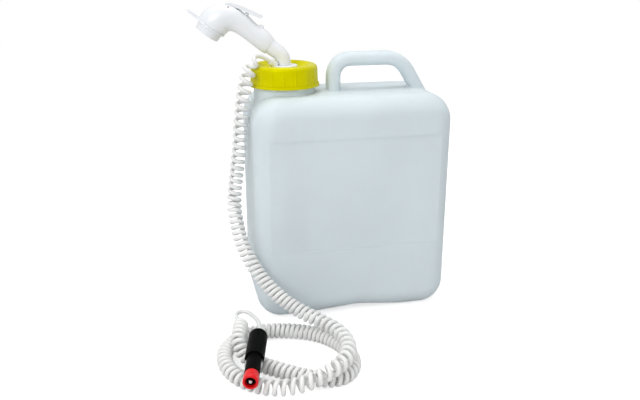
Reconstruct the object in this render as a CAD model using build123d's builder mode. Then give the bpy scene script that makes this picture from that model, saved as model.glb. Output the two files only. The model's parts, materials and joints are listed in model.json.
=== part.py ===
"""Portable shower: a wide-neck water can, a screw cap that carries a swivelling shower head,
a submersible 12 V pump on a riser hose, and a curly cord with a car plug.

Millimetres, +Z up. The origin is on the floor, on the axis of the can's neck, about which the
cap turns, the shower head swivels and the whole insert lifts out. +X runs along the can
towards its handle, and -Y faces the side on which the cord lies.
"""
import os
from math import atan2, cos, degrees, pi, radians, sin, tan

from build123d import *

os.makedirs("parts", exist_ok=True)

# Water can
can_width = 316
can_depth = 170
can_height = 358
can_wall = 2.2
neck_offset = 98  # from the neck's axis to the middle of the can
top_corner = 45
base_corner = 40
edge_round = 30
foot_length = 40
arch_rise = 7
arch_shift = 8
arch_blend = 60
label_bottom = 116
label_height = 179.5
label_depth = 1.2

# Pouring grip, scooped into the lower corner away from the neck
grip_length = 108
grip_height = 92
grip_width = 86
grip_bulge = 6.5

# Neck
neck_radius = 48
neck_wall = 4
neck_height = 32

# Carrying handle, blown in one piece with the can
handle_thick = 21.5
handle_wide = 29
handle_round = 9.5
handle_lift = 47.5  # from the can's top to the middle of the grip bar
handle_near = 78.5  # upright leg, from the neck's axis
handle_far = 188.5  # where the bar meets the sloping leg
handle_slope = 36  # how far out the sloping leg runs
handle_near_bend = 26
handle_far_bend = 45
handle_root = 12  # how deep the legs run below the can's top

# Screw cap
cap_gap = 10  # between the can's top and the cap's lower edge
cap_flange_radius = 55
cap_flange_thick = 4
cap_skirt_radius = 52.3
cap_rim_radius = 51.8
cap_rim_width = 9.5
cap_rim_height = 6
cap_rim_round = 6.5
cap_rim_soft = 1.8
cap_plate = 3
cap_clearance = 0.5
cap_ribs = 18
cap_rib_radius = 2
gasket_thick = 2
gasket_width = 3.4
seal_gap = 0.1

# Flanged bush through the cap
bush_radius = 18
bush_drop = 16  # below the underside of the cap's plate
bush_clearance = 0.08
flange_radius = 21
flange_thick = 3.8
flange_gap = 0.2
nut_radius = 24
nut_height = 6
nut_notches = 12
nut_notch_radius = 1.6
seal_height = 2.8
tail_radius = 4.8
tail_length = 24
tail_barb = 0.24
tail_barbs = 3
barb_length = 2.8
tail_bore = 3.2

# Swivel joint of the shower arm
spigot_radius = 8
spigot_depth = 16
spigot_clearance = 0.06
swivel_gap = 0.2
oring_section = 1.1
oring_height = 10  # above the foot of the spigot
clip_height = 3  # above the foot of the spigot
clip_thick = 1.2
clip_bite = 1
clip_mouth = 5

# Arm and handset, laid out from the neck's axis in the vertical plane they lie in
arm_heading = 12.66  # turned from the can's long axis, away from the viewer
arm_angle = 37  # rise of the handset's axis
elbow_radius = 10.5
elbow_rise = 2
elbow_bend = 21
elbow_reach = 15.8
seam_radius = 11.9
seam_groove = 0.45
arm_bore = 4
stub_radius = 8
stub_length = 11
stub_clearance = 0.1
handset_length = 60.3
handset_middle_radius = 14.6
handset_neck_radius = 17.4
head_bend = 28.5
head_turn = 91.5
head_shoulder_radius = 20.8
head_crown_radius = 23.4
head_face_radius = 22.5

# Spray head
hub_radius = 17.5
hub_bore = 14
hub_length = 9.6
selector_radius = 23.8
selector_thick = 3
selector_gap = 0.2
selector_clearance = 0.08
tab_reach = 20
tab_width = 9
tab_thick = 3.6
ring_radius = 20.3
ring_face_radius = 19.3
ring_length = 11
ring_flutes = 30
flute_radius = 0.9
plate_thick = 1.6
plate_seat = 2
gasket_rubber = 1
layer_gap = 0.1
jet_radius = 0.7
inner_jet_circle = 5.5
inner_jets = 6
outer_jet_circle = 11
outer_jets = 12

# Trigger lever, placed along and above the handset's axis, from the seam
pivot_along = 84
pivot_above = 10.5
lever_top = ((86, 15.7), (71, 21.4), (52, 25.9), (35, 29.7))
lever_thick = 4.5
lever_width = 15
lever_travel = 8
barrel_radius = 5.6
barrel_clearance = 0.3
barrel_width = 9.5
pin_radius = 1.5
pin_length = 23
pin_clearance = 0.05
slot_clearance = 0.6
spring_wire = 0.8
spring_radius = 2.7
spring_turns = 3
catch_along = 22
catch_length = 13
catch_top = 18.2
catch_width = 9
plunger_along = 56
plunger_radius = 3
plunger_clearance = 0.06
plunger_gap = 0.3
plunger_foot = 4.6
plunger_seal_section = 0.8
plunger_seal_height = 5

# Pump, hose and inner cable
pump_x = 14
pump_y = -20
pump_bottom = 96
pump_radius = 18
strainer_height = 23
strainer_wall = 1.8
strainer_slots = 14
strainer_slot = 3
strainer_round = 3
motor_height = 58
pump_wall = 2
pump_floor = 4
motor_radius = 15.6
motor_gap = 0.4
outlet_collar = 10
outlet_cone = 10
outlet_stub = 26
impeller_radius = 13
impeller_height = 8
impeller_hub = 4
impeller_blades = 6
impeller_lift = 8
impeller_disc = 1.5
blade_thick = 1.2
blade_sweep = 25
shaft_radius = 1.5
shaft_clearance = 0.08
shaft_seal_radius = 5
shaft_in_motor = 10
hose_radius = 7
hose_bore = 5.05
hose_slack = 4
hose_straight_share = 0.29  # of the hose's height, above its offset
hose_offset_share = 0.35
clip_band = 8
clip_ring = 1.1
clip_lug = 6
cable_boss_radius = 4.5
cable_boss_height = 12
cable_boss_x = 3
cable_boss_y = -26
cable_out = 13.5  # from the neck's axis, below the gland
cable_straight_share = 0.2  # of the cable's height
cable_offset_share = 0.4

# Cord
wire_radius = 3
lead_straight = 14
coil_radius = 11
gland_out = 15  # from the neck's axis
gland_turn = 22  # from the can's long axis, towards the viewer
gland_lift = 0.5  # above the flange's top
gland_angle = 33
gland_boss_radius = 5.4
gland_boss_length = 11
gland_radius = 4.3
gland_collar_radius = 4.8
gland_clearance = 0.05
gland_depth = 8
gland_proud = 1.5

# Car plug, measured from its back end
plug_rear_x = -75.7
plug_rear_y = -184.7
plug_height = 36.5
plug_heading_x = -30
plug_heading_y = -131
plug_body_radius = 13.5
plug_body_length = 67
plug_body_round = 6
plug_wall = 2.5
relief_radius = 4.3
relief_length = 9
relief_proud = 4
tail_straight = 22  # of the cord, behind the plug
nose_radius = 10.4
nose_length = 38
nose_gap = 0.1
pin_nose_radius = 6
pin_nose_length = 14
sleeve_ring_radius = 9.9
sleeve_ring_length = 7
sleeve_radius = 10.6
sleeve_length = 18
sleeve_round = 1.4
sleeve_clearance = 0.08
sleeve_mouth_radius = 7.6
sleeve_mouth_depth = 8
sleeve_gap = 0.3
contact_radius = 2.5
contact_head_radius = 4
contact_head_length = 3
contact_proud = 4
contact_travel = 3
contact_clearance = 0.06
side_contact_length = 14
side_contact_width = 4
side_contact_proud = 1.6
side_contact_depth = 4
side_contact_setback = 3.5
side_contact_clearance = 0.1
side_contact_travel = 1.4
fuse_radius = 3.1
fuse_length = 30
fuse_cap = 6
plug_spring_radius = 3
plug_spring_wire = 0.7
plug_spring_turns = 3

# The cord's route. The lead arches from the gland to the coil that hangs beside the can; the
# coil goes round the can's corner, loops twice on the floor, and ends in a plain tail.
floor_level = 11
crossing_level = 34.5
lead_over = [
    (-47, -22, 416),
    (-54.4625, -29.675, 408.485),
]
hang_points = [
    (-57.5, -29, 396.2),
    (-62, -28, 378),
    (-68, -27.5, 345),
    (-72.5, -26, 312),
    (-77, -24, 275),
    (-81.5, -21, 240),
]
coil_points = [
    (-81.5, -21, 240),
    (-84.43, -19.05, 217.25),
    (-88, -21, 192),
    (-88.5, -36, 166),
    (-83, -64, 131),
    (-67, -93, 99),
    (-43, -116, 69),
    (-11, -138, 46),
    (21, -164, 36),
    (43, -198, crossing_level),
    (47, -238, crossing_level),
    (34, -275, crossing_level),
    (3, -300, 33),
    (-36, -300, 17),
    (-77, -286, floor_level),
    (-110, -260, floor_level),
    (-128, -221, floor_level),
    (-127, -178, floor_level),
    (-101, -143, floor_level),
    (-61, -130, floor_level),
    (-18, -139, floor_level),
    (21, -160, floor_level),
    (45, -193, floor_level),
    (53, -230, floor_level),
    (47, -264, floor_level),
    (22, -286, floor_level),
    (-17, -275, floor_level),
    (-54, -246, floor_level),
    (-95, -212, floor_level),
    (-105.5, -187, 29),
    (-99, -157, 35),
    (-92, -131, 32),
]
tail_points = [
    (-92, -131, 32),
    (-89.9, -123.2, 31.1),
    (-91, -110, 31),
    (-84, -101, 32),
    (-73, -102, 34),
    (-66, -112, 37),
    (-65, -126, 38.5),
    (-66.5, -143, 38),
]


# Derived places
can_middle = neck_offset
can_left = can_middle - can_width / 2
can_right = can_middle + can_width / 2
neck_top = can_height + neck_height
cap_bottom = can_height + cap_gap
cap_ceiling = neck_top + gasket_thick
cap_floor = cap_ceiling + cap_plate
cap_top = cap_floor + cap_rim_height
cap_bore = neck_radius + cap_clearance
bush_bottom = cap_ceiling - bush_drop
flange_bottom = cap_floor + flange_gap
flange_top = flange_bottom + flange_thick
tail_bottom = bush_bottom - tail_length
spigot_bottom = flange_top - spigot_depth
elbow_bottom = flange_top + swivel_gap
hose_top = bush_bottom - hose_slack
pump_top = pump_bottom + strainer_height + motor_height + outlet_collar + outlet_cone
floor_of_housing = pump_bottom + strainer_height
top_of_housing = floor_of_housing + motor_height
hose_bottom = pump_top + hose_slack

heading = Vector(-cos(radians(arm_heading)), sin(radians(arm_heading)), 0)
sideways = heading.cross(Vector(0, 0, 1))
arm_side = Plane(origin=(0, 0, 0), x_dir=heading, z_dir=sideways)


def arm_point(out, up):
    """A point of the arm, by its distance from the neck's axis and its height."""
    return heading * out + Vector(0, 0, up)


def along_arm(angle):
    """The direction in the arm's plane that rises by this angle."""
    return heading * cos(radians(angle)) + Vector(0, 0, sin(radians(angle)))


def across(out, up, angle):
    """A plane square to the arm's centreline where that heads at this angle."""
    return Plane(origin=arm_point(out, up), x_dir=sideways, z_dir=along_arm(angle))


def bend_planes(out, up, angle, turn, radius, steps):
    """Planes square to a centreline that starts here and bends down through the turn."""
    middle_out = out + radius * cos(radians(angle - 90))
    middle_up = up + radius * sin(radians(angle - 90))
    planes = []
    for step in range(1, steps + 1):
        turned = angle - turn * step / steps
        spoke = radians(turned + 90)
        planes.append(across(middle_out + radius * cos(spoke), middle_up + radius * sin(spoke), turned))
    return planes


def blend_through(planes, radii):
    """A round solid that runs smoothly through circles on these planes."""
    with BuildPart() as body:
        for plane, radius in zip(planes, radii):
            with BuildSketch(plane):
                Circle(radius)
        loft()
    return body.part


def route_radii(points):
    """Bend radii as large as the runs beside each corner allow."""
    radii = []
    for before, corner, after in zip(points, points[1:], points[2:]):
        run_in = Vector(*corner) - Vector(*before)
        run_out = Vector(*after) - Vector(*corner)
        half_turn = radians(run_in.get_angle(run_out)) / 2
        radii.append(0.45 * min(run_in.length, run_out.length) / tan(half_turn))
    return radii


def tube_along(points, radius, bore=0):
    """A round tube of straight runs joined by tangent arcs, solid unless it has a bore."""
    radii = route_radii(points)
    with BuildPart() as tube:
        with BuildLine() as route:
            FilletPolyline(*points, radius=radii)
        centre = route.wires()[0]
        with BuildSketch(Plane(origin=centre @ 0, z_dir=centre % 0)):
            Circle(radius)
            if bore:
                Circle(bore, mode=Mode.SUBTRACT)
        sweep(path=centre)
    section = pi * (radius**2 - bore**2)
    print("route", round(centre.length, 1), "mm; least radius", round(min(radii), 1),
          "; volume ratio", round(tube.part.volume / (section * centre.length), 4))
    return tube.part


def save(piece, name):
    """Name a finished piece and write it."""
    piece.label = name
    export_step(piece, f"parts/{name}.step")


def can_form(inset, neck, neck_end):
    """The can's rounded outline, drawn in by the inset, with its neck and handle."""
    left = can_left + inset
    right = can_right - inset
    base = inset
    top = can_height - inset
    face = can_depth / 2 - inset
    foot_left = can_left + base_corner + foot_length
    foot_right = can_right - base_corner - foot_length
    outline = [
        (left, base),
        (foot_left, base),
        (can_middle + arch_shift, base + arch_rise),
        (foot_right, base),
        (right, base),
        (right, top),
        (left, top),
    ]
    low = base_corner - inset
    high = top_corner - inset
    corner_radii = [low, arch_blend, arch_blend, arch_blend, low, high, high]
    with BuildPart() as form:
        with BuildSketch(Plane.XZ.offset(-face)):
            with BuildLine():
                FilletPolyline(*outline, radius=corner_radii, close=True)
            make_face()
        extrude(amount=2 * face)
        fillet(form.faces().filter_by(Axis.Y).edges(), edge_round - inset)

        # Label panels, front and back
        with BuildSketch(Plane.XY.offset(label_bottom - inset)):
            with Locations((can_middle, face), (can_middle, -face)):
                Rectangle(can_width, 2 * label_depth)
        extrude(amount=label_height + 2 * inset, mode=Mode.SUBTRACT)

        # Pouring grip, open downwards and to the right
        with BuildSketch(Plane.XZ.offset(-(grip_width / 2 + inset))):
            with BuildLine():
                roof = SagittaArc(
                    (can_right - grip_length, -inset),
                    (can_right + inset, grip_height),
                    -grip_bulge,
                )
                Line(roof @ 1, (can_right + grip_width, grip_height))
                Line((can_right + grip_width, grip_height), (can_right + grip_width, -grip_width))
                Line((can_right + grip_width, -grip_width), (can_right - grip_length, -grip_width))
                Line((can_right - grip_length, -grip_width), roof @ 0)
            make_face()
            if inset:
                offset(amount=inset)
        extrude(amount=grip_width + 2 * inset, mode=Mode.SUBTRACT)

        # Neck
        with BuildSketch(Plane.XY.offset(can_height - edge_round)):
            Circle(neck)
        extrude(amount=neck_end - can_height + edge_round)

        # Handle
        with BuildLine() as grip_line:
            FilletPolyline(
                (handle_near, 0, can_height - handle_root),
                (handle_near, 0, can_height + handle_lift),
                (handle_far, 0, can_height + handle_lift),
                (handle_far + handle_slope, 0, can_height - handle_root),
                radius=[handle_near_bend, handle_far_bend],
            )
        with BuildSketch(Plane.XY.offset(can_height - handle_root)):
            with Locations((handle_near, 0)):
                RectangleRounded(
                    handle_thick - 2 * inset, handle_wide - 2 * inset, handle_round - inset
                )
        sweep(path=grip_line.wires()[0])
    return form.part


# Water can with its neck and handle, hollow throughout
can_outside = can_form(0, neck_radius, neck_top)
can_inside = can_form(can_wall, neck_radius - neck_wall, neck_top + neck_wall)
with BuildPart() as canister:
    add(can_outside)
    add(can_inside, mode=Mode.SUBTRACT)
print("can holds", round(can_inside.volume / 1e6, 2), "litres; pieces", len(canister.solids()))
save(canister.part, "canister")


# Screw cap, turning on the neck, with grip ribs and a raised rim
with BuildPart() as cap:
    with BuildSketch(Plane.XZ):
        with BuildLine():
            Polyline(
                (bush_radius + bush_clearance, cap_ceiling),
                (cap_bore, cap_ceiling),
                (cap_bore, cap_bottom),
                (cap_flange_radius, cap_bottom),
                (cap_flange_radius, cap_bottom + cap_flange_thick),
                (cap_skirt_radius, cap_bottom + cap_flange_thick),
                (cap_rim_radius, cap_top),
                (cap_rim_radius - cap_rim_width, cap_top),
                (cap_rim_radius - cap_rim_width - cap_rim_height, cap_floor),
                (bush_radius + bush_clearance, cap_floor),
                close=True,
            )
        make_face()
    revolve(axis=Axis.Z)
    rim_edges = cap.edges().filter_by(GeomType.CIRCLE).group_by(Axis.Z)[-1].sort_by(SortBy.RADIUS)
    fillet(rim_edges[-1], cap_rim_round)
    rim_edges = cap.edges().filter_by(GeomType.CIRCLE).group_by(Axis.Z)[-1].sort_by(SortBy.RADIUS)
    fillet(rim_edges[0], cap_rim_soft)
    with BuildSketch(Plane.XY.offset(cap_bottom + cap_flange_thick / 2)):
        with PolarLocations(cap_skirt_radius - cap_rib_radius / 2, cap_ribs):
            Circle(cap_rib_radius)
    extrude(amount=cap_floor - cap_bottom - cap_flange_thick / 2, taper=2)
save(cap.part, "cap")


def flat_ring(base, height, outer, inner):
    """A flat ring about the neck's axis."""
    with BuildPart() as ring:
        with BuildSketch(Plane.XY.offset(base)):
            Circle(outer)
            Circle(inner, mode=Mode.SUBTRACT)
        extrude(amount=height)
    return ring.part


cap_gasket = flat_ring(
    neck_top + seal_gap,
    gasket_thick - 2 * seal_gap,
    neck_radius - seal_gap,
    neck_radius - gasket_width - seal_gap,
)
save(cap_gasket, "cap_gasket")

flange_seal = flat_ring(
    cap_ceiling - seal_gap - seal_height,
    seal_height,
    nut_radius - seal_gap,
    bush_radius + bush_clearance,
)
save(flange_seal, "flange_seal")


# Flanged bush: plate above the cap, bush through it, barbed hose tail and cord outlet
gland_heading = Vector(-cos(radians(gland_turn)), -sin(radians(gland_turn)), 0)
gland_direction = gland_heading * cos(radians(gland_angle)) + Vector(0, 0, sin(radians(gland_angle)))
gland_start = gland_heading * gland_out + Vector(0, 0, flange_top + gland_lift)
gland_plane = Plane(origin=gland_start, x_dir=gland_heading.cross(Vector(0, 0, 1)), z_dir=gland_direction)
gland_mouth = gland_plane.offset(gland_boss_length)
with BuildPart() as swivel_flange:
    with BuildSketch(Plane.XZ):
        with BuildLine():
            Polyline(
                (0, flange_top),
                (flange_radius, flange_top),
                (flange_radius, flange_bottom),
                (bush_radius, flange_bottom),
                (bush_radius, bush_bottom),
                (tail_radius, bush_bottom),
                (tail_radius, tail_bottom),
                (0, tail_bottom),
                close=True,
            )
        make_face()
    revolve(axis=Axis.Z)
    fillet(swivel_flange.edges().filter_by(GeomType.CIRCLE).group_by(Axis.Z)[-1], 1)
    with Locations(gland_plane):
        Cylinder(gland_boss_radius, gland_boss_length, align=(Align.CENTER, Align.CENTER, Align.MIN))
    for rung in range(tail_barbs):
        with BuildSketch(Plane.XY.offset(tail_bottom + barb_length * (1 + 2 * rung))):
            Circle(tail_radius)
        extrude(amount=barb_length, taper=-degrees(atan2(tail_barb, barb_length)))
    with Locations(gland_mouth):
        Hole(gland_radius + gland_clearance, depth=gland_depth)
    with Locations((0, 0, flange_top)):
        Hole(spigot_radius + spigot_clearance, depth=spigot_depth)
    with Locations((0, 0, spigot_bottom)):
        Hole(tail_bore, depth=spigot_bottom - tail_bottom)
    with BuildSketch(Plane.XY.offset(spigot_bottom + clip_height - seal_gap)):
        Circle(spigot_radius + clip_bite)
    extrude(amount=clip_thick + 2 * seal_gap, mode=Mode.SUBTRACT)
save(swivel_flange.part, "swivel_flange")


# Ring nut that draws the bush up against the cap
with BuildPart() as flange_nut:
    with BuildSketch(Plane.XY.offset(cap_ceiling - 2 * seal_gap - seal_height - nut_height)):
        Circle(nut_radius)
        Circle(bush_radius + seal_gap, mode=Mode.SUBTRACT)
        with PolarLocations(nut_radius, nut_notches):
            Circle(nut_notch_radius, mode=Mode.SUBTRACT)
    extrude(amount=nut_height)
save(flange_nut.part, "flange_nut")


# Rubber gland that the cord leaves through
with BuildPart() as cord_gland:
    with BuildSketch(gland_mouth.offset(-gland_depth + seal_gap)):
        Circle(gland_radius)
        Circle(wire_radius + gland_clearance, mode=Mode.SUBTRACT)
    extrude(amount=gland_depth - seal_gap)
    with BuildSketch(gland_mouth):
        Circle(gland_collar_radius)
        Circle(wire_radius + gland_clearance, mode=Mode.SUBTRACT)
    extrude(amount=gland_proud)
save(cord_gland.part, "cord_gland")


def oring(plane, radius, section):
    """A rubber ring of round section about the plane's normal."""
    with BuildPart() as ring:
        with Locations(plane):
            Torus(radius, section)
    return ring.part


swivel_oring = oring(
    Plane.XY.offset(spigot_bottom + oring_height), spigot_radius - oring_section, oring_section
)
save(swivel_oring, "swivel_oring")

with BuildPart() as swivel_clip:
    with BuildSketch(Plane.XY.offset(spigot_bottom + clip_height)):
        Circle(spigot_radius + clip_bite - seal_gap)
        Circle(spigot_radius - clip_bite + seal_gap, mode=Mode.SUBTRACT)
        with Locations((0, spigot_radius)):
            Rectangle(clip_mouth, spigot_radius, mode=Mode.SUBTRACT)
    extrude(amount=clip_thick)
save(swivel_clip.part, "swivel_clip")


# Centreline of the arm: up, through the elbow, along the handset and round the head
elbow_start = elbow_bottom + elbow_rise
elbow_planes = [across(0, elbow_start, 90)]
elbow_planes += bend_planes(0, elbow_start, 90, 90 - arm_angle, elbow_bend, 3)
elbow_end_out = elbow_bend * (1 - sin(radians(arm_angle)))
elbow_end_up = elbow_start + elbow_bend * cos(radians(arm_angle))
seam_out = elbow_end_out + elbow_reach * cos(radians(arm_angle))
seam_up = elbow_end_up + elbow_reach * sin(radians(arm_angle))


def handset_plane(along):
    """A plane square to the handset's straight axis, this far from the seam."""
    out = seam_out + along * cos(radians(arm_angle))
    up = seam_up + along * sin(radians(arm_angle))
    return across(out, up, arm_angle)


def water_way(points, bend):
    """The arm's passage along these points, with this bend radius at the corner."""
    with BuildPart() as passage:
        with BuildLine() as route:
            FilletPolyline(*points, radius=bend)
        centre = route.wires()[0]
        with BuildSketch(Plane(origin=centre @ 0, z_dir=centre % 0)):
            Circle(arm_bore)
        sweep(path=centre)
    return passage.part


elbow_planes.append(handset_plane(0))
elbow_radii = [elbow_radius]
for step in range(1, 4):
    elbow_radii.append(elbow_radius + (seam_radius - elbow_radius) * step / 5)
elbow_radii.append(seam_radius)
elbow_shape = blend_through(elbow_planes, elbow_radii)
elbow_corner = arm_point(0, elbow_start + elbow_bend * tan(radians(90 - arm_angle) / 2))
elbow_passage = water_way(
    [arm_point(0, spigot_bottom), elbow_corner, handset_plane(stub_length).origin], elbow_bend
)
with BuildPart() as elbow:
    add(elbow_shape)
    with BuildSketch(Plane.XY.offset(elbow_bottom)):
        Circle(elbow_radius)
    extrude(amount=elbow_rise)
    with BuildSketch(Plane.XY.offset(spigot_bottom + seal_gap)):
        Circle(spigot_radius)
    extrude(amount=spigot_depth + swivel_gap - seal_gap)
    with Locations(handset_plane(0)):
        Cylinder(stub_radius, stub_length, align=(Align.CENTER, Align.CENTER, Align.MIN))
    add(elbow_passage, mode=Mode.SUBTRACT)
    with Locations(handset_plane(0)):
        Torus(seam_radius, seam_groove, mode=Mode.SUBTRACT)
    with BuildSketch(Plane.XY.offset(spigot_bottom + oring_height - oring_section - seal_gap)):
        Circle(spigot_radius)
        Circle(spigot_radius - 2 * oring_section, mode=Mode.SUBTRACT)
    extrude(amount=2 * (oring_section + seal_gap), mode=Mode.SUBTRACT)
    with BuildSketch(Plane.XY.offset(spigot_bottom + clip_height - seal_gap)):
        Circle(spigot_radius)
        Circle(spigot_radius - clip_bite, mode=Mode.SUBTRACT)
    extrude(amount=clip_thick + 2 * seal_gap, mode=Mode.SUBTRACT)
save(elbow.part, "elbow")

handset_seal = oring(handset_plane(stub_length + oring_section + seal_gap),
                     stub_radius - 2 * oring_section, oring_section)
save(handset_seal, "handset_seal")


# Handset: a tapering handle that bends over into the round spray head
handset_planes = [handset_plane(0), handset_plane(handset_length / 2), handset_plane(handset_length)]
bend_start = handset_planes[-1].origin
bend_out = bend_start.dot(heading)
handset_planes += bend_planes(bend_out, bend_start.Z, arm_angle, head_turn, head_bend, 3)
handset_shape = blend_through(
    handset_planes,
    [
        seam_radius,
        handset_middle_radius,
        handset_neck_radius,
        head_shoulder_radius,
        head_crown_radius,
        head_face_radius,
    ],
)
face_plane = handset_planes[-1]
head_corner = bend_start + along_arm(arm_angle) * head_bend * tan(radians(head_turn) / 2)
handset_passage = water_way(
    [handset_plane(stub_length).origin, head_corner, face_plane.offset(hub_length / 2).origin], head_bend
)
handle_side = Plane(
    origin=handset_plane(0).origin, x_dir=along_arm(arm_angle), z_dir=sideways
)


def swung(point, angle):
    """A point of the lever after it turns about its pivot."""
    along = point[0] - pivot_along
    above = point[1] - pivot_above
    turn = radians(angle)
    return (
        pivot_along + along * cos(turn) - above * sin(turn),
        pivot_above + along * sin(turn) + above * cos(turn),
    )


lever_bottom = [(along, above - lever_thick) for along, above in lever_top]
pressed = [swung(point, lever_travel) for point in lever_bottom]
slot_floor = pivot_above - barrel_radius - slot_clearance
slot_front = pivot_along - barrel_radius - slot_clearance
mouth = pressed[2]
ramp = pressed[1]

with BuildPart() as handset_body:
    add(handset_shape)
    with Locations(face_plane):
        Cylinder(hub_radius, hub_length, align=(Align.CENTER, Align.CENTER, Align.MIN))
    # Catch under the lever's tip
    with BuildSketch(handle_side):
        with BuildLine():
            FilletPolyline(
                (catch_along, seam_radius),
                (catch_along + catch_length * 0.2, catch_top),
                (catch_along + catch_length * 0.65, catch_top - 0.8),
                (catch_along + catch_length, seam_radius),
                radius=[1.5, 3],
            )
            Line((catch_along + catch_length, seam_radius), (catch_along, seam_radius))
        make_face()
    extrude(amount=catch_width / 2, both=True)
    # Slot that the lever's root lies in
    with BuildSketch(handle_side):
        with BuildLine():
            Polyline(
                (pivot_along, slot_floor),
                (pivot_along, pivot_above + 2 * barrel_radius + lever_thick * 3),
                (mouth[0], pivot_above + 2 * barrel_radius + lever_thick * 3),
                (mouth[0], mouth[1] - slot_clearance),
                (ramp[0], ramp[1] - slot_clearance),
                (slot_front, slot_floor),
                close=True,
            )
        make_face()
        with Locations((pivot_along, pivot_above)):
            Circle(barrel_radius + barrel_clearance)
    extrude(amount=lever_width / 2 + slot_clearance, both=True, mode=Mode.SUBTRACT)
    # Water way, from the elbow's stub to the chamber behind the spray plate
    add(handset_passage, mode=Mode.SUBTRACT)
    with Locations(handset_plane(0)):
        Torus(seam_radius, seam_groove, mode=Mode.SUBTRACT)
    with Locations(handset_plane(0)):
        Cylinder(
            stub_radius + stub_clearance,
            stub_length + 2 * (oring_section + seal_gap),
            align=(Align.CENTER, Align.CENTER, Align.MIN),
            mode=Mode.SUBTRACT,
        )
    with Locations(face_plane.offset(hub_length)):
        Hole(hub_bore, depth=hub_length + 2)
    # Bores for the lever's pin and the valve's plunger
    with BuildSketch(handle_side):
        with Locations((pivot_along, pivot_above)):
            Circle(pin_radius + pin_clearance)
    extrude(amount=handset_neck_radius, both=True, mode=Mode.SUBTRACT)
    plunger_plane = Plane(
        origin=handset_plane(plunger_along).origin,
        x_dir=sideways,
        z_dir=along_arm(arm_angle + 90),
    )
    with BuildSketch(plunger_plane):
        Circle(plunger_radius + plunger_clearance)
    extrude(amount=handset_neck_radius + lever_thick, mode=Mode.SUBTRACT)
save(handset_body.part, "handset_body")


# Trigger lever with its barrel
with BuildPart() as lever:
    with BuildSketch(handle_side):
        with BuildLine():
            Polyline(*lever_top, *reversed(lever_bottom), close=True)
        make_face()
        fillet(vertices().sort_by(Axis.X)[:2], lever_thick * 0.45)
    extrude(amount=lever_width / 2, both=True)
    with BuildSketch(handle_side):
        with Locations((pivot_along, pivot_above)):
            Circle(barrel_radius)
    extrude(amount=lever_width / 2, both=True)
    # Room beside the barrel for the return spring
    with BuildSketch(handle_side.offset(barrel_width - lever_width / 2)):
        with Locations((pivot_along, pivot_above)):
            Circle(spring_radius + spring_wire)
    extrude(amount=lever_width, mode=Mode.SUBTRACT)
    with BuildSketch(handle_side.offset(-lever_width / 2)):
        with Locations((pivot_along, pivot_above)):
            Circle(pin_radius + pin_clearance)
    extrude(amount=lever_width, mode=Mode.SUBTRACT)
save(lever.part, "lever")

with BuildPart() as lever_pin:
    with BuildSketch(handle_side.offset(-pin_length / 2)):
        with Locations((pivot_along, pivot_above)):
            Circle(pin_radius)
    extrude(amount=pin_length)
save(lever_pin.part, "lever_pin")

spring_room = lever_width - barrel_width
spring_pitch = (spring_room - 2 * spring_wire) / spring_turns
with BuildPart() as lever_spring:
    with BuildLine() as spring_line:
        coil = Helix(spring_pitch, spring_pitch * spring_turns, spring_radius)
    with BuildSketch(Plane(origin=coil @ 0, z_dir=coil % 0)):
        Circle(spring_wire / 2)
    sweep(path=spring_line.wires()[0])
spring_seat = Plane(
    origin=handle_side.from_local_coords((pivot_along, pivot_above, barrel_width - lever_width / 2 + spring_wire)),
    x_dir=along_arm(arm_angle),
    z_dir=sideways,
)
lever_spring_placed = lever_spring.part.moved(spring_seat.location)
save(lever_spring_placed, "lever_spring")


# Valve plunger under the lever
plunger_edge = plunger_along + plunger_radius
plunger_share = (plunger_edge - lever_top[1][0]) / (lever_top[2][0] - lever_top[1][0])
lever_over_plunger = lever_bottom[1][1] + plunger_share * (lever_bottom[2][1] - lever_bottom[1][1])
plunger_top = lever_over_plunger - plunger_gap
with BuildPart() as valve_plunger:
    with BuildSketch(plunger_plane.offset(plunger_foot)):
        Circle(plunger_radius)
    extrude(amount=plunger_top - plunger_foot)
    fillet(valve_plunger.faces().sort_by(Axis(plunger_plane.origin, plunger_plane.z_dir))[-1].edges(), 1.2)
    with BuildSketch(plunger_plane.offset(plunger_foot + plunger_seal_height - plunger_seal_section - seal_gap)):
        Circle(plunger_radius)
        Circle(plunger_radius - 2 * plunger_seal_section, mode=Mode.SUBTRACT)
    extrude(amount=2 * (plunger_seal_section + seal_gap), mode=Mode.SUBTRACT)
save(valve_plunger.part, "valve_plunger")

plunger_seal = oring(
    plunger_plane.offset(plunger_foot + plunger_seal_height),
    plunger_radius - plunger_seal_section,
    plunger_seal_section,
)
save(plunger_seal, "plunger_seal")


# Selector ring with its thumb tab, turning on the hub
selector_plane = Plane(
    origin=face_plane.offset(selector_gap).origin,
    x_dir=along_arm(arm_angle - head_turn + 90),
    z_dir=face_plane.z_dir,
)
with BuildPart() as selector_ring:
    with BuildSketch(selector_plane):
        Circle(selector_radius)
        Circle(hub_radius + selector_clearance, mode=Mode.SUBTRACT)
    extrude(amount=selector_thick)
    fillet(selector_ring.edges().filter_by(GeomType.CIRCLE).sort_by(SortBy.RADIUS)[-2:], 0.8)
    with BuildSketch(selector_plane):
        with BuildLine():
            Polyline(
                (selector_radius - 2, tab_width / 2),
                (selector_radius + tab_reach - tab_width / 2, tab_width / 2 * 0.8),
            )
            ThreePointArc(
                (selector_radius + tab_reach - tab_width / 2, tab_width / 2 * 0.8),
                (selector_radius + tab_reach, 0),
                (selector_radius + tab_reach - tab_width / 2, -tab_width / 2 * 0.8),
            )
            Polyline(
                (selector_radius + tab_reach - tab_width / 2, -tab_width / 2 * 0.8),
                (selector_radius - 2, -tab_width / 2),
                (selector_radius - 2, tab_width / 2),
            )
        make_face()
    extrude(amount=tab_thick)
save(selector_ring.part, "selector_ring")


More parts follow.
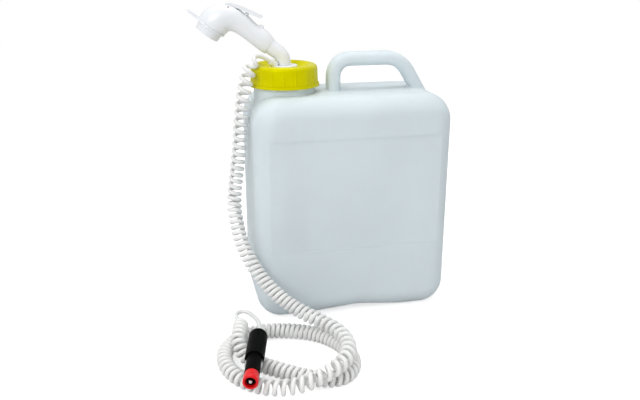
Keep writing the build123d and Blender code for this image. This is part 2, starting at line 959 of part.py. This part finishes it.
# Nozzle ring: a fluted cap ring that clamps the spray plate on the hub
ring_start = selector_gap + selector_thick + selector_gap
ring_end = ring_start + ring_length
plate_top = ring_end - plate_seat
with BuildPart() as nozzle_ring:
    with BuildSketch(face_plane.offset(ring_start)):
        Circle(ring_radius)
    with BuildSketch(face_plane.offset(ring_end)):
        Circle(ring_face_radius)
    loft()
    with Locations(face_plane.offset(ring_start)):
        Cylinder(
            hub_radius + layer_gap,
            ring_length - plate_seat,
            align=(Align.CENTER, Align.CENTER, Align.MIN),
            mode=Mode.SUBTRACT,
        )
    with Locations(face_plane.offset(ring_end)):
        Hole(hub_radius - plate_seat, depth=ring_length)
    with BuildSketch(face_plane.offset(ring_start + 1.5)):
        with PolarLocations(ring_radius + flute_radius * 0.3, ring_flutes):
            Circle(flute_radius)
    extrude(amount=ring_length - 3.5, mode=Mode.SUBTRACT)
save(nozzle_ring.part, "nozzle_ring")

plate_base = plate_top - layer_gap - plate_thick
with BuildPart() as spray_plate:
    with BuildSketch(face_plane.offset(plate_base)):
        Circle(hub_radius - layer_gap)
        Circle(jet_radius, mode=Mode.SUBTRACT)
        with PolarLocations(inner_jet_circle, inner_jets):
            Circle(jet_radius, mode=Mode.SUBTRACT)
        with PolarLocations(outer_jet_circle, outer_jets):
            Circle(jet_radius, mode=Mode.SUBTRACT)
    extrude(amount=plate_thick)
save(spray_plate.part, "spray_plate")

with BuildPart() as spray_gasket:
    with BuildSketch(face_plane.offset(plate_base - layer_gap - gasket_rubber)):
        Circle(hub_radius - layer_gap)
        Circle(hub_bore, mode=Mode.SUBTRACT)
    extrude(amount=gasket_rubber)
save(spray_gasket.part, "spray_gasket")


# Submersible pump: strainer, housing with motor, outlet cap, shaft and impeller
def at_pump(height):
    """A level plane on the pump's axis."""
    return Plane(origin=(pump_x, pump_y, height), z_dir=(0, 0, 1))


with BuildPart() as pump_strainer:
    with BuildSketch(at_pump(pump_bottom)):
        Circle(pump_radius)
    extrude(amount=strainer_height)
    fillet(pump_strainer.edges().group_by(Axis.Z)[0], strainer_round)
    with BuildSketch(at_pump(pump_bottom + strainer_wall)):
        Circle(pump_radius - strainer_wall)
    extrude(amount=strainer_height, mode=Mode.SUBTRACT)
    with BuildSketch(at_pump(pump_bottom + 2 * strainer_wall)):
        with PolarLocations(pump_radius - strainer_wall / 2, strainer_slots):
            Rectangle(4 * strainer_wall, strainer_slot)
    extrude(amount=strainer_height - 5 * strainer_wall, mode=Mode.SUBTRACT)
save(pump_strainer.part, "pump_strainer")

with BuildPart() as pump_housing:
    with BuildSketch(at_pump(floor_of_housing)):
        Circle(pump_radius)
    extrude(amount=motor_height)
    with BuildSketch(at_pump(floor_of_housing + pump_floor)):
        Circle(pump_radius - pump_wall)
    extrude(amount=motor_height, mode=Mode.SUBTRACT)
    with BuildSketch(at_pump(floor_of_housing)):
        Circle(shaft_seal_radius + layer_gap)
    extrude(amount=pump_floor, mode=Mode.SUBTRACT)
save(pump_housing.part, "pump_housing")

with BuildPart() as pump_motor:
    with BuildSketch(at_pump(floor_of_housing + pump_floor)):
        Circle(motor_radius)
        Circle(shaft_radius + shaft_clearance, mode=Mode.SUBTRACT)
    extrude(amount=shaft_in_motor + motor_gap)
    with BuildSketch(at_pump(floor_of_housing + pump_floor + shaft_in_motor + motor_gap)):
        Circle(motor_radius)
    extrude(amount=motor_height - pump_floor - shaft_in_motor - 2 * motor_gap)
save(pump_motor.part, "pump_motor")

with BuildPart() as shaft_seal:
    with BuildSketch(at_pump(floor_of_housing)):
        Circle(shaft_seal_radius)
        Circle(shaft_radius + shaft_clearance, mode=Mode.SUBTRACT)
    extrude(amount=pump_floor)
save(shaft_seal.part, "shaft_seal")

impeller_bottom = pump_bottom + impeller_lift
with BuildPart() as pump_shaft:
    with BuildSketch(at_pump(impeller_bottom - 1)):
        Circle(shaft_radius)
    extrude(amount=floor_of_housing + pump_floor + shaft_in_motor - impeller_bottom + 1)
save(pump_shaft.part, "pump_shaft")

with BuildPart() as pump_impeller:
    with BuildSketch(at_pump(impeller_bottom)):
        Circle(impeller_radius)
    extrude(amount=impeller_disc)
    with BuildSketch(at_pump(impeller_bottom)):
        Circle(impeller_hub)
        with PolarLocations((impeller_radius + impeller_hub) / 2, impeller_blades):
            Rectangle(impeller_radius - impeller_hub, blade_thick, rotation=blade_sweep)
    extrude(amount=impeller_height)
    with BuildSketch(at_pump(impeller_bottom)):
        Circle(shaft_radius)
    extrude(amount=impeller_height, mode=Mode.SUBTRACT)
save(pump_impeller.part, "pump_impeller")

outlet_base = top_of_housing
with BuildPart() as pump_outlet:
    with BuildSketch(at_pump(outlet_base)):
        Circle(pump_radius)
    extrude(amount=outlet_collar)
    with BuildSketch(at_pump(outlet_base + outlet_collar)):
        Circle(pump_radius)
    with BuildSketch(at_pump(outlet_base + outlet_collar + outlet_cone)):
        Circle(tail_radius + 3)
    loft()
    with BuildSketch(at_pump(pump_top)):
        Circle(tail_radius)
    extrude(amount=outlet_stub)
    with BuildSketch(Plane.XY.offset(outlet_base + outlet_collar)):
        with Locations((cable_boss_x, cable_boss_y)):
            Circle(cable_boss_radius)
    extrude(amount=cable_boss_height)
    with Locations((pump_x, pump_y, pump_top + outlet_stub)):
        Hole(tail_bore, depth=outlet_stub + outlet_cone)
save(pump_outlet.part, "pump_outlet")


# Riser hose from the pump to the cap, its clips, and the pump's cable beside it
hose_height = hose_top - hose_bottom
riser_points = [
    (0, 0, hose_top),
    (0, 0, hose_top - hose_height * hose_straight_share),
    (pump_x, pump_y, hose_top - hose_height * (hose_straight_share + hose_offset_share)),
    (pump_x, pump_y, hose_bottom),
]
riser_hose = tube_along(riser_points, hose_radius, hose_bore)
save(riser_hose, "riser_hose")

clip_spots = ((0, 0, hose_top - clip_band - 4), (pump_x, pump_y, hose_bottom + 4))
with BuildPart() as hose_clips:
    for spot in clip_spots:
        with BuildSketch(Plane(origin=spot, z_dir=(0, 0, 1))):
            with Locations((hose_radius + clip_ring + clip_lug / 3, 0)):
                Rectangle(clip_lug, clip_lug)
            Circle(hose_radius + clip_ring)
            Circle(hose_radius + gland_clearance, mode=Mode.SUBTRACT)
        extrude(amount=clip_band)
save(hose_clips.part, "hose_clips")

cable_top = bush_bottom - seal_gap
cable_foot = outlet_base + outlet_collar + cable_boss_height + seal_gap
cable_height = cable_top - cable_foot
cable_start = gland_heading * cable_out
cable_points = [
    (cable_start.X, cable_start.Y, cable_top),
    (cable_start.X, cable_start.Y, cable_top - cable_height * cable_straight_share),
    (cable_boss_x, cable_boss_y, cable_foot + cable_height * cable_offset_share),
    (cable_boss_x, cable_boss_y, cable_foot),
]
pump_cable = tube_along(cable_points, wire_radius)
save(pump_cable, "pump_cable")


# Curly cord: plain lead, hanging coil, coil on the floor, plain tail
lead_start = gland_mouth.offset(gland_proud).origin
lead_rise = lead_start + gland_direction * lead_straight
lead_points = [tuple(lead_start), tuple(lead_rise)] + lead_over + [hang_points[0]]
save(tube_along(lead_points, wire_radius), "cord_lead")
save(tube_along(hang_points, coil_radius), "cord_hanging")
save(tube_along(coil_points, coil_radius), "cord_coil")


# Car plug, lying on the cord
plug_direction = Vector(plug_heading_x, plug_heading_y, 0).normalized()
plug_rear = Vector(plug_rear_x, plug_rear_y, plug_height)


def plug_plane(along):
    """A plane square to the plug's axis, this far from its back end."""
    return Plane(origin=plug_rear + plug_direction * along, x_dir=plug_direction.cross(Vector(0, 0, 1)),
                 z_dir=plug_direction)


tail_end = plug_rear - plug_direction * relief_proud
tail_run_in = plug_rear - plug_direction * tail_straight
tail_route = tail_points + [tuple(tail_run_in), tuple(tail_end)]
save(tube_along(tail_route, wire_radius), "cord_tail")

nose_end = plug_body_length + nose_length
pin_end = nose_end + pin_nose_length
contact_seat = pin_end - contact_head_length - contact_travel - 3
contact_stop = contact_seat + contact_head_length + layer_gap
bore_radius = contact_head_radius + contact_clearance
with BuildPart() as plug_body:
    with BuildSketch(plug_plane(0)):
        Circle(plug_body_radius)
    extrude(amount=plug_body_length)
    fillet(plug_body.faces().sort_by(Axis(plug_rear, plug_direction))[0].edges(), plug_body_round)
    with Locations(plug_plane(0)):
        Cylinder(
            relief_radius + layer_gap,
            relief_length - relief_proud,
            align=(Align.CENTER, Align.CENTER, Align.MIN),
            mode=Mode.SUBTRACT,
        )
    with Locations(plug_plane(plug_body_length)):
        Hole(nose_radius - plug_wall, depth=plug_body_length / 2)
save(plug_body.part, "plug_body")

with BuildPart() as plug_strain_relief:
    with BuildSketch(plug_plane(-relief_proud)):
        Circle(relief_radius)
    extrude(amount=relief_length - layer_gap)
save(plug_strain_relief.part, "plug_strain_relief")

with BuildPart() as plug_nose:
    with BuildSketch(plug_plane(plug_body_length + nose_gap)):
        Circle(nose_radius)
    extrude(amount=nose_length - nose_gap)
    with BuildSketch(plug_plane(nose_end)):
        Circle(pin_nose_radius)
    extrude(amount=pin_nose_length)
    with BuildSketch(plug_plane(plug_body_length - plug_wall * 3)):
        Circle(nose_radius - plug_wall - layer_gap)
    extrude(amount=plug_wall * 4)
    with BuildSketch(plug_plane(plug_body_length - plug_wall * 3)):
        Circle(bore_radius)
    extrude(amount=contact_stop - plug_body_length + plug_wall * 3, mode=Mode.SUBTRACT)
    with BuildSketch(plug_plane(plug_body_length)):
        Circle(contact_radius + contact_clearance)
    extrude(amount=nose_length + pin_nose_length, mode=Mode.SUBTRACT)
    with BuildSketch(plug_plane(plug_body_length + side_contact_setback)):
        with Locations((nose_radius, 0), (-nose_radius, 0)):
            Rectangle(
                2 * (side_contact_depth + side_contact_travel + side_contact_clearance),
                side_contact_width + 2 * side_contact_clearance,
            )
    extrude(amount=side_contact_length + 2 * side_contact_clearance, mode=Mode.SUBTRACT)
save(plug_nose.part, "plug_nose")

with BuildPart() as adapter_sleeve:
    with BuildSketch(plug_plane(nose_end + sleeve_gap)):
        Circle(sleeve_ring_radius)
    extrude(amount=sleeve_length)
    with BuildSketch(plug_plane(nose_end + sleeve_gap + sleeve_ring_length)):
        Circle(sleeve_radius)
    extrude(amount=sleeve_length - sleeve_ring_length)
    fillet(adapter_sleeve.faces().sort_by(Axis(plug_rear, plug_direction))[-1].edges(), sleeve_round)
    with Locations(plug_plane(nose_end + sleeve_gap + sleeve_length)):
        CounterBoreHole(
            pin_nose_radius + sleeve_clearance,
            sleeve_mouth_radius,
            sleeve_mouth_depth,
            depth=sleeve_length,
        )
save(adapter_sleeve.part, "adapter_sleeve")

with BuildPart() as tip_contact:
    with BuildSketch(plug_plane(contact_seat)):
        Circle(contact_head_radius)
    extrude(amount=contact_head_length)
    with BuildSketch(plug_plane(contact_seat)):
        Circle(contact_radius)
    extrude(amount=pin_end + contact_proud - contact_seat)
    fillet(tip_contact.faces().sort_by(Axis(plug_rear, plug_direction))[-1].edges(), 1.6)
save(tip_contact.part, "tip_contact")

fuse_start = plug_body_length - plug_wall * 3 + 6
spring_end = contact_seat - seal_gap
spring_start = fuse_start + fuse_length + contact_travel + 1
plug_spring_pitch = (spring_end - spring_start - plug_spring_wire) / plug_spring_turns
with BuildPart() as tip_spring:
    with BuildLine() as plug_spring_line:
        turns = Helix(plug_spring_pitch, plug_spring_pitch * plug_spring_turns, plug_spring_radius)
    with BuildSketch(Plane(origin=turns @ 0, z_dir=turns % 0)):
        Circle(plug_spring_wire / 2)
    sweep(path=plug_spring_line.wires()[0])
tip_spring_placed = tip_spring.part.moved(plug_plane(spring_start + plug_spring_wire / 2).location)
save(tip_spring_placed, "tip_spring")

with BuildPart() as fuse:
    with BuildSketch(plug_plane(fuse_start)):
        Circle(fuse_radius)
    extrude(amount=fuse_length)
    with BuildSketch(plug_plane(fuse_start + fuse_cap)):
        Circle(fuse_radius)
        Circle(fuse_radius - 0.4, mode=Mode.SUBTRACT)
    extrude(amount=fuse_length - 2 * fuse_cap, mode=Mode.SUBTRACT)
save(fuse.part, "fuse")


def side_contact(side):
    """A sprung side contact, proud of the nose on one side."""
    reach = side_contact_depth + side_contact_proud
    middle = side * (nose_radius - side_contact_depth + reach / 2)
    base = plug_body_length + side_contact_setback + side_contact_clearance
    with BuildPart() as contact:
        with BuildSketch(plug_plane(base)):
            with Locations((middle, 0)):
                Rectangle(reach, side_contact_width)
        extrude(amount=side_contact_length)
        outer = contact.faces().sort_by(Axis(plug_rear, plug_plane(0).x_dir * side))[-1]
        fillet(outer.edges().filter_by(Axis((0, 0, 0), (0, 0, 1))), 1.2)
    return contact.part


save(side_contact(1), "side_contact_left")
save(side_contact(-1), "side_contact_right")
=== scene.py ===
"""Portable shower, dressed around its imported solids: materials, the curly cord, and the studio."""
import json
import math

import bpy
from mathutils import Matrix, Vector


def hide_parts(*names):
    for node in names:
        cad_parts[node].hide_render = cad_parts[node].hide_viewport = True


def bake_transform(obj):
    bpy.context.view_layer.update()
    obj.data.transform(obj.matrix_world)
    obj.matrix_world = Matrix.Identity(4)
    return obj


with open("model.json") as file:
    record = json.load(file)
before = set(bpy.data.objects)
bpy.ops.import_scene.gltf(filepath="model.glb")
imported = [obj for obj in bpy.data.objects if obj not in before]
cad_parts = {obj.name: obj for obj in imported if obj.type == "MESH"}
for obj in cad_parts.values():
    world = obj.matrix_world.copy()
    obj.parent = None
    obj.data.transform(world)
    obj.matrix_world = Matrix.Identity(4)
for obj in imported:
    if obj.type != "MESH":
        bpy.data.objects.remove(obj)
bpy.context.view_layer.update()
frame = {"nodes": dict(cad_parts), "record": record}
nodes = frame["nodes"]
scene = bpy.context.scene

MM = 0.001

# Cord, in millimetres. The route follows the part's source, with the lead, the hanging part,
# the coil's end and the tail moved a little
WIRE_RADIUS = 3.25
COIL_RADIUS = 11.8
FLOOR_LEVEL = 11.9
CROSSING_LEVEL = 35.6
LEAD_POINTS = [
    (-23.63, -9.55, 406.31),
    (-34.51, -13.94, 413.93),
    (-44, -19.5, 416.5),
    (-50.5, -26.5, 414),
    (-57.5, -29.5, 399),
]
HANG_POINTS = [
    (-64.5, -28.5, 378),
    (-70.5, -27.5, 345),
    (-74, -26, 312),
    (-77, -24, 275),
    (-81.5, -21, 240),
]
COIL_POINTS = [
    (-84.43, -19.05, 217.25),
    (-88, -21, 192),
    (-88.5, -36, 166),
    (-83, -64, 131),
    (-67, -93, 99),
    (-43, -116, 69),
    (-11, -138, 47),
    (21, -164, 37),
    (43, -198, CROSSING_LEVEL),
    (47, -238, CROSSING_LEVEL),
    (34, -275, CROSSING_LEVEL),
    (3, -300, 34),
    (-36, -300, 18),
    (-77, -286, FLOOR_LEVEL),
    (-110, -260, FLOOR_LEVEL),
    (-128, -221, FLOOR_LEVEL),
    (-127, -178, FLOOR_LEVEL),
    (-101, -143, FLOOR_LEVEL),
    (-61, -130, FLOOR_LEVEL),
    (-18, -139, FLOOR_LEVEL),
    (21, -160, FLOOR_LEVEL),
    (45, -193, FLOOR_LEVEL),
    (53, -230, FLOOR_LEVEL),
    (47, -264, FLOOR_LEVEL),
    (22, -286, FLOOR_LEVEL),
    (-17, -275, FLOOR_LEVEL),
    (-54, -246, FLOOR_LEVEL),
    (-95, -212, FLOOR_LEVEL),
    (-106, -187, 29.5),
    (-100, -160, 34),
    (-96, -135, 33.5),
]
TAIL_POINTS = [
    (-100, -125, 33.5),
    (-101.5, -114, 34.5),
    (-97, -105.5, 35),
    (-88, -103, 35),
    (-80, -109, 34),
    (-75, -123, 34.5),
    (-70.5, -143, 36.5),
    (-70.79, -163.25, 36.5),
    (-74.81, -180.8, 36.5),
]

# The curls' pitch at places along the coil, both in millimetres
PITCH = [
    (0, 15.6),
    (35, 14.8),
    (65, 13.4),
    (100, 12.4),
    (145, 12.0),
    (175, 11.4),
    (205, 10.5),
    (250, 9.8),
    (310, 9.0),
    (390, 7.8),
    (440, 8.0),
    (485, 10.5),
    (535, 13.2),
    (600, 13.4),
    (660, 12.4),
    (740, 11.2),
    (820, 9.4),
    (890, 7.8),
    (1010, 7.6),
    (1110, 8.2),
    (1200, 8.6),
    (1280, 9.0),
]

# How the curls begin and end, in metres
COIL_BEFORE_LEAD_END = 24 * MM
COIL_PAST_TAIL_START = 9 * MM
RAMP = 20 * MM
UNWINDING = 45 * MM
FIRST_TURN = math.radians(292)

# How finely the cord is drawn, with the plain step in metres
WIRE_SIDES = 10
ROUTE_STEPS = 24
POINTS_PER_TURN = 20
PLAIN_STEP = 2 * MM

# Studio, in metres and degrees, with the lens and its sensor in millimetres
FLOOR_SIZE = 6.0
FLOOR_COLOUR = (0.7, 0.7, 0.7, 1)
FLOOR_GLOW = 0.62
WORLD_LIGHT = 0.64
WORLD_SEEN = 1.0
LAMP_TARGET = (0.05, 0, 0.2)
SENSOR_WIDTH = 36
LENS = 39.85
CAMERA_PLACE = (-0.1888, -1.0958, 0.5523)
CAMERA_TILT = 71.33
CAMERA_TURN = -12.66


# Materials


def new_material(name):
    """An empty node material and its shader."""
    made = bpy.data.materials.new(name)
    made.use_nodes = True
    return made, made.node_tree, made.node_tree.nodes["Principled BSDF"]


def noise(tree, scale, detail=3.0, roughness=0.5):
    """A noise texture in the object's own space."""
    where = tree.nodes.new("ShaderNodeTexCoord")
    texture = tree.nodes.new("ShaderNodeTexNoise")
    texture.inputs["Scale"].default_value = scale
    texture.inputs["Detail"].default_value = detail
    texture.inputs["Roughness"].default_value = roughness
    tree.links.new(where.outputs["Object"], texture.inputs["Vector"])
    return texture.outputs["Fac"]


def ramp(tree, value, stops):
    """A colour ramp over a value."""
    made = tree.nodes.new("ShaderNodeValToRGB")
    made.color_ramp.elements[0].position = stops[0][0]
    made.color_ramp.elements[0].color = (*stops[0][1], 1)
    made.color_ramp.elements[1].position = stops[-1][0]
    made.color_ramp.elements[1].color = (*stops[-1][1], 1)
    tree.links.new(value, made.inputs["Fac"])
    return made.outputs["Color"]


def bump(tree, shader, height, strength, distance):
    """Fine relief on the shader's surface."""
    made = tree.nodes.new("ShaderNodeBump")
    made.inputs["Strength"].default_value = strength
    made.inputs["Distance"].default_value = distance
    tree.links.new(height, made.inputs["Height"])
    tree.links.new(made.outputs["Normal"], shader.inputs["Normal"])


def shade(colour, factor):
    """A colour made lighter or darker."""
    return tuple(min(1.0, part * factor) for part in colour)


def plastic(
    name,
    colour,
    roughness,
    grain=900.0,
    relief=0.00006,
    spread=0.06,
    coat=0.0,
    specular=0.5,
    tint=(1.0, 1.0, 1.0),
):
    """Moulded plastic: a slight mottle, uneven gloss and a fine moulded grain."""
    made, tree, shader = new_material(name)
    mottle = noise(tree, scale=38.0)
    tree.links.new(
        ramp(tree, mottle, [(0.3, shade(colour, 1 - spread)), (0.7, shade(colour, 1 + spread / 2))]),
        shader.inputs["Base Color"],
    )
    gloss = ramp(
        tree,
        noise(tree, scale=90.0),
        [(0.25, (roughness * 0.85,) * 3), (0.75, (roughness * 1.2,) * 3)],
    )
    tree.links.new(gloss, shader.inputs["Roughness"])
    shader.inputs["Coat Weight"].default_value = coat
    shader.inputs["Specular IOR Level"].default_value = specular
    shader.inputs["Specular Tint"].default_value = (*tint, 1)
    bump(tree, shader, noise(tree, grain, detail=4.0), strength=0.35, distance=relief)
    return made


def metal(name, colour, roughness):
    """Bare metal with fine drawn lines."""
    made, tree, shader = new_material(name)
    shader.inputs["Metallic"].default_value = 1.0
    tree.links.new(
        ramp(tree, noise(tree, scale=160.0), [(0.3, shade(colour, 0.85)), (0.7, colour)]),
        shader.inputs["Base Color"],
    )
    gloss = ramp(
        tree,
        noise(tree, scale=400.0),
        [(0.3, (roughness * 0.7,) * 3), (0.7, (roughness * 1.3,) * 3)],
    )
    tree.links.new(gloss, shader.inputs["Roughness"])
    bump(tree, shader, noise(tree, scale=1200.0), strength=0.2, distance=0.00002)
    return made


def milky(name, colour, roughness, transmission):
    """Blow-moulded natural plastic that lets a blurred shade of what is inside through."""
    made, tree, shader = new_material(name)
    mottle = noise(tree, scale=9.0, detail=5.0)
    tree.links.new(
        ramp(tree, mottle, [(0.3, shade(colour, 0.965)), (0.7, shade(colour, 1.02))]),
        shader.inputs["Base Color"],
    )
    gloss = ramp(
        tree,
        noise(tree, scale=55.0),
        [(0.3, (roughness * 0.9,) * 3), (0.7, (roughness * 1.15,) * 3)],
    )
    tree.links.new(gloss, shader.inputs["Roughness"])
    shader.inputs["Transmission Weight"].default_value = transmission
    shader.inputs["IOR"].default_value = 1.15
    bump(tree, shader, noise(tree, scale=260.0, detail=4.0), strength=0.15, distance=0.00004)
    return made


MATERIALS = {
    "can": milky("milky_polyethylene", (0.87, 0.945, 0.975), 0.37, 0.36),
    "cap": plastic("yellow_plastic", (0.64, 0.6, 0.0), 0.3, tint=(1.0, 0.95, 0.0)),
    "white": plastic("white_plastic", (0.8, 0.82, 0.85), 0.32, coat=0.2, spread=0.03),
    "grey": plastic("light_grey_plastic", (0.62, 0.63, 0.65), 0.4),
    "cord": plastic("white_cord", (0.83, 0.835, 0.825), 0.42, grain=1500.0, spread=0.05),
    "hose": milky("milky_hose", (0.62, 0.68, 0.74), 0.35, 0.3),
    "rubber": plastic("black_rubber", (0.03, 0.03, 0.032), 0.7),
    "black": plastic("blue_black_plastic", (0.04, 0.07, 0.12), 0.45),
    "plug": plastic("black_plastic", (0.003, 0.003, 0.003), 0.42, grain=1100.0, relief=0.0001, specular=0.02),
    "red": plastic("red_plastic", (0.74, 0.002, 0.006), 0.28, specular=0.35),
    "contact": metal("nickel", (0.78, 0.78, 0.76), 0.25),
    "steel": metal("stainless_steel", (0.66, 0.66, 0.66), 0.35),
    "fuse_glass": plastic("fuse_glass", (0.7, 0.72, 0.72), 0.12),
}


def dress(piece, slot):
    """Gives a piece one material."""
    piece.data.materials.clear()
    piece.data.materials.append(MATERIALS[slot])


SLOT_OF = {part["node"]: part["material_slot"] for part in frame["record"]["subparts"]}
for node_name, node in nodes.items():
    dress(node, SLOT_OF[node_name])


# Curly cord


def spline_points(points, name):
    """Points along a smooth line with these control points, in metres."""
    line = bpy.data.curves.new(name, "CURVE")
    line.dimensions = "3D"
    line.resolution_u = ROUTE_STEPS
    spline = line.splines.new("NURBS")
    spline.points.add(len(points) - 1)
    for place, point in zip(spline.points, points):
        place.co = (*[part * MM for part in point], 1)
    spline.order_u = 3
    spline.use_endpoint_u = True
    holder = bpy.data.objects.new(name, line)
    scene.collection.objects.link(holder)
    bpy.context.view_layer.update()
    graph = bpy.context.evaluated_depsgraph_get()
    mesh = bpy.data.meshes.new_from_object(holder.evaluated_get(graph))
    found = [Vector(vertex.co) for vertex in mesh.vertices]
    bpy.data.objects.remove(holder)
    bpy.data.curves.remove(line)
    bpy.data.meshes.remove(mesh)
    return found


def travelled(points):
    """The distance of each point along the line."""
    found = [0.0]
    for before, after in zip(points, points[1:]):
        found.append(found[-1] + (after - before).length)
    return found


def mixed(stops, where):
    """The value between stops at this place."""
    if where <= stops[0][0]:
        return stops[0][1]
    for (low, low_value), (high, high_value) in zip(stops, stops[1:]):
        if where <= high:
            share = (where - low) / (high - low)
            return low_value + (high_value - low_value) * share
    return stops[-1][1]


def frames_along(points):
    """Two directions square to the line at each point, carried along without twist."""
    side = Vector((0, 1, 0))
    found = []
    for index in range(len(points)):
        before = points[max(index - 1, 0)]
        after = points[min(index + 1, len(points) - 1)]
        ahead = (after - before).normalized()
        side = (side - ahead * side.dot(ahead)).normalized()
        found.append((side, ahead.cross(side)))
    return found


def tube(name, points, radius, sides):
    """A closed tube along the points."""
    vertices = []
    faces = []
    for point, (across, over) in zip(points, frames_along(points)):
        for step in range(sides):
            angle = 2 * math.pi * step / sides
            vertices.append(point + across * (radius * math.cos(angle)) + over * (radius * math.sin(angle)))
    for ring in range(len(points) - 1):
        for step in range(sides):
            after = (step + 1) % sides
            low = ring * sides
            faces.append((low + step, low + after, low + sides + after, low + sides + step))
    faces.append(tuple(reversed(range(sides))))
    last = (len(points) - 1) * sides
    faces.append(tuple(range(last, last + sides)))
    mesh = bpy.data.meshes.new(name)
    mesh.from_pydata([tuple(vertex) for vertex in vertices], [], faces)
    mesh.update()
    for face in mesh.polygons:
        face.use_smooth = True
    piece = bpy.data.objects.new(name, mesh)
    scene.collection.objects.link(piece)
    return piece


route = spline_points(LEAD_POINTS + HANG_POINTS + COIL_POINTS + TAIL_POINTS, "cord_route")
route_length = travelled(route)
route_frames = frames_along(route)
lead_length = travelled(spline_points(LEAD_POINTS, "lead_route"))[-1]
tail_length = travelled(spline_points(COIL_POINTS[-1:] + TAIL_POINTS, "tail_route"))[-1]
coil_start = lead_length - COIL_BEFORE_LEAD_END
coil_end = route_length[-1] - tail_length + COIL_PAST_TAIL_START


def at_length(where):
    """The place on the route and the two directions across it."""
    low, high = 0, len(route) - 1
    while high - low > 1:
        middle = (low + high) // 2
        if route_length[middle] <= where:
            low = middle
        else:
            high = middle
    share = (where - route_length[low]) / max(route_length[high] - route_length[low], 1e-9)
    point = route[low].lerp(route[high], share)
    across = route_frames[low][0].lerp(route_frames[high][0], share)
    over = route_frames[low][1].lerp(route_frames[high][1], share)
    return point, across, over


def wire_points():
    """The wire's own centreline: a plain lead, the curls, and a plain tail."""
    found = []
    where = 0.0
    turn = FIRST_TURN
    curl = (COIL_RADIUS - WIRE_RADIUS) * MM
    while where < route_length[-1] - MM:
        point, across, over = at_length(where)
        into = (where - coil_start) / RAMP
        out_of = (coil_end - where) / RAMP
        swell = max(0.0, min(1.0, into, out_of))
        swell = swell * swell * (3 - 2 * swell)
        reach = curl * swell
        found.append(point + across * (reach * math.cos(turn)) + over * (reach * math.sin(turn)))
        if swell > 0:
            pitch = mixed(PITCH, (where - coil_start) / MM) * MM
            turn -= 2 * math.pi / POINTS_PER_TURN
            where += (pitch + (1 - swell) * UNWINDING) / POINTS_PER_TURN
        else:
            where += PLAIN_STEP
    found.append(route[-1])
    return found


wire = wire_points()
cord = tube("curly_cord", wire, WIRE_RADIUS * MM, WIRE_SIDES)
dress(cord, "cord")
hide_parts("cord_lead", "cord_hanging", "cord_coil", "cord_tail")
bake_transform(cord)


# Studio


def plane(name, size, height):
    """A level square."""
    half = size / 2
    mesh = bpy.data.meshes.new(name)
    corners = [(-half, -half, height), (half, -half, height), (half, half, height), (-half, half, height)]
    mesh.from_pydata(corners, [], [(0, 1, 2, 3)])
    piece = bpy.data.objects.new(name, mesh)
    scene.collection.objects.link(piece)
    return piece


floor = plane("floor", FLOOR_SIZE, 0.0)
floor_look, floor_tree, floor_shader = new_material("pale_floor")
floor_shader.inputs["Base Color"].default_value = FLOOR_COLOUR
floor_shader.inputs["Roughness"].default_value = 0.9
floor_shader.inputs["Specular IOR Level"].default_value = 0.0
floor_shader.inputs["Emission Color"].default_value = (1, 1, 1, 1)
floor_rays = floor_tree.nodes.new("ShaderNodeLightPath")
floor_glow = floor_tree.nodes.new("ShaderNodeMath")
floor_glow.operation = "MULTIPLY"
floor_glow.inputs[1].default_value = FLOOR_GLOW
floor_tree.links.new(floor_rays.outputs["Is Camera Ray"], floor_glow.inputs[0])
floor_tree.links.new(floor_glow.outputs["Value"], floor_shader.inputs["Emission Strength"])
floor.data.materials.append(floor_look)

world = bpy.data.worlds.new("studio")
scene.world = world
world.use_nodes = True
sky = world.node_tree
background = sky.nodes["Background"]
background.inputs["Color"].default_value = (1, 1, 1, 1)
rays = sky.nodes.new("ShaderNodeLightPath")
seen = sky.nodes.new("ShaderNodeMath")
seen.operation = "MAXIMUM"
sky.links.new(rays.outputs["Is Camera Ray"], seen.inputs[0])
sky.links.new(rays.outputs["Is Transmission Ray"], seen.inputs[1])
strength = sky.nodes.new("ShaderNodeMix")
strength.data_type = "FLOAT"
strength.inputs["A"].default_value = WORLD_LIGHT
strength.inputs["B"].default_value = WORLD_SEEN
sky.links.new(seen.outputs["Value"], strength.inputs["Factor"])
sky.links.new(strength.outputs["Result"], background.inputs["Strength"])


def lamp(name, place, size, power):
    """A square soft lamp that faces the object."""
    light = bpy.data.lights.new(name, "AREA")
    light.shape = "SQUARE"
    light.size = size
    light.energy = power
    holder = bpy.data.objects.new(name, light)
    holder.location = place
    holder.rotation_euler = (Vector(LAMP_TARGET) - Vector(place)).to_track_quat("-Z", "Y").to_euler()
    scene.collection.objects.link(holder)


lamp("key", (-1.15, -1.4, 1.35), size=1.0, power=16.5)
lamp("fill", (1.6, -1.0, 1.3), size=1.2, power=1.5)
lamp("top", (0.1, 0.25, 2.2), size=1.4, power=16)

camera = bpy.data.objects.new("camera", bpy.data.cameras.new("camera"))
camera.data.sensor_width = SENSOR_WIDTH
camera.data.lens = LENS
camera.location = CAMERA_PLACE
camera.rotation_euler = (math.radians(CAMERA_TILT), 0, math.radians(CAMERA_TURN))
scene.collection.objects.link(camera)
scene.camera = camera

scene.view_settings.view_transform = "Standard"
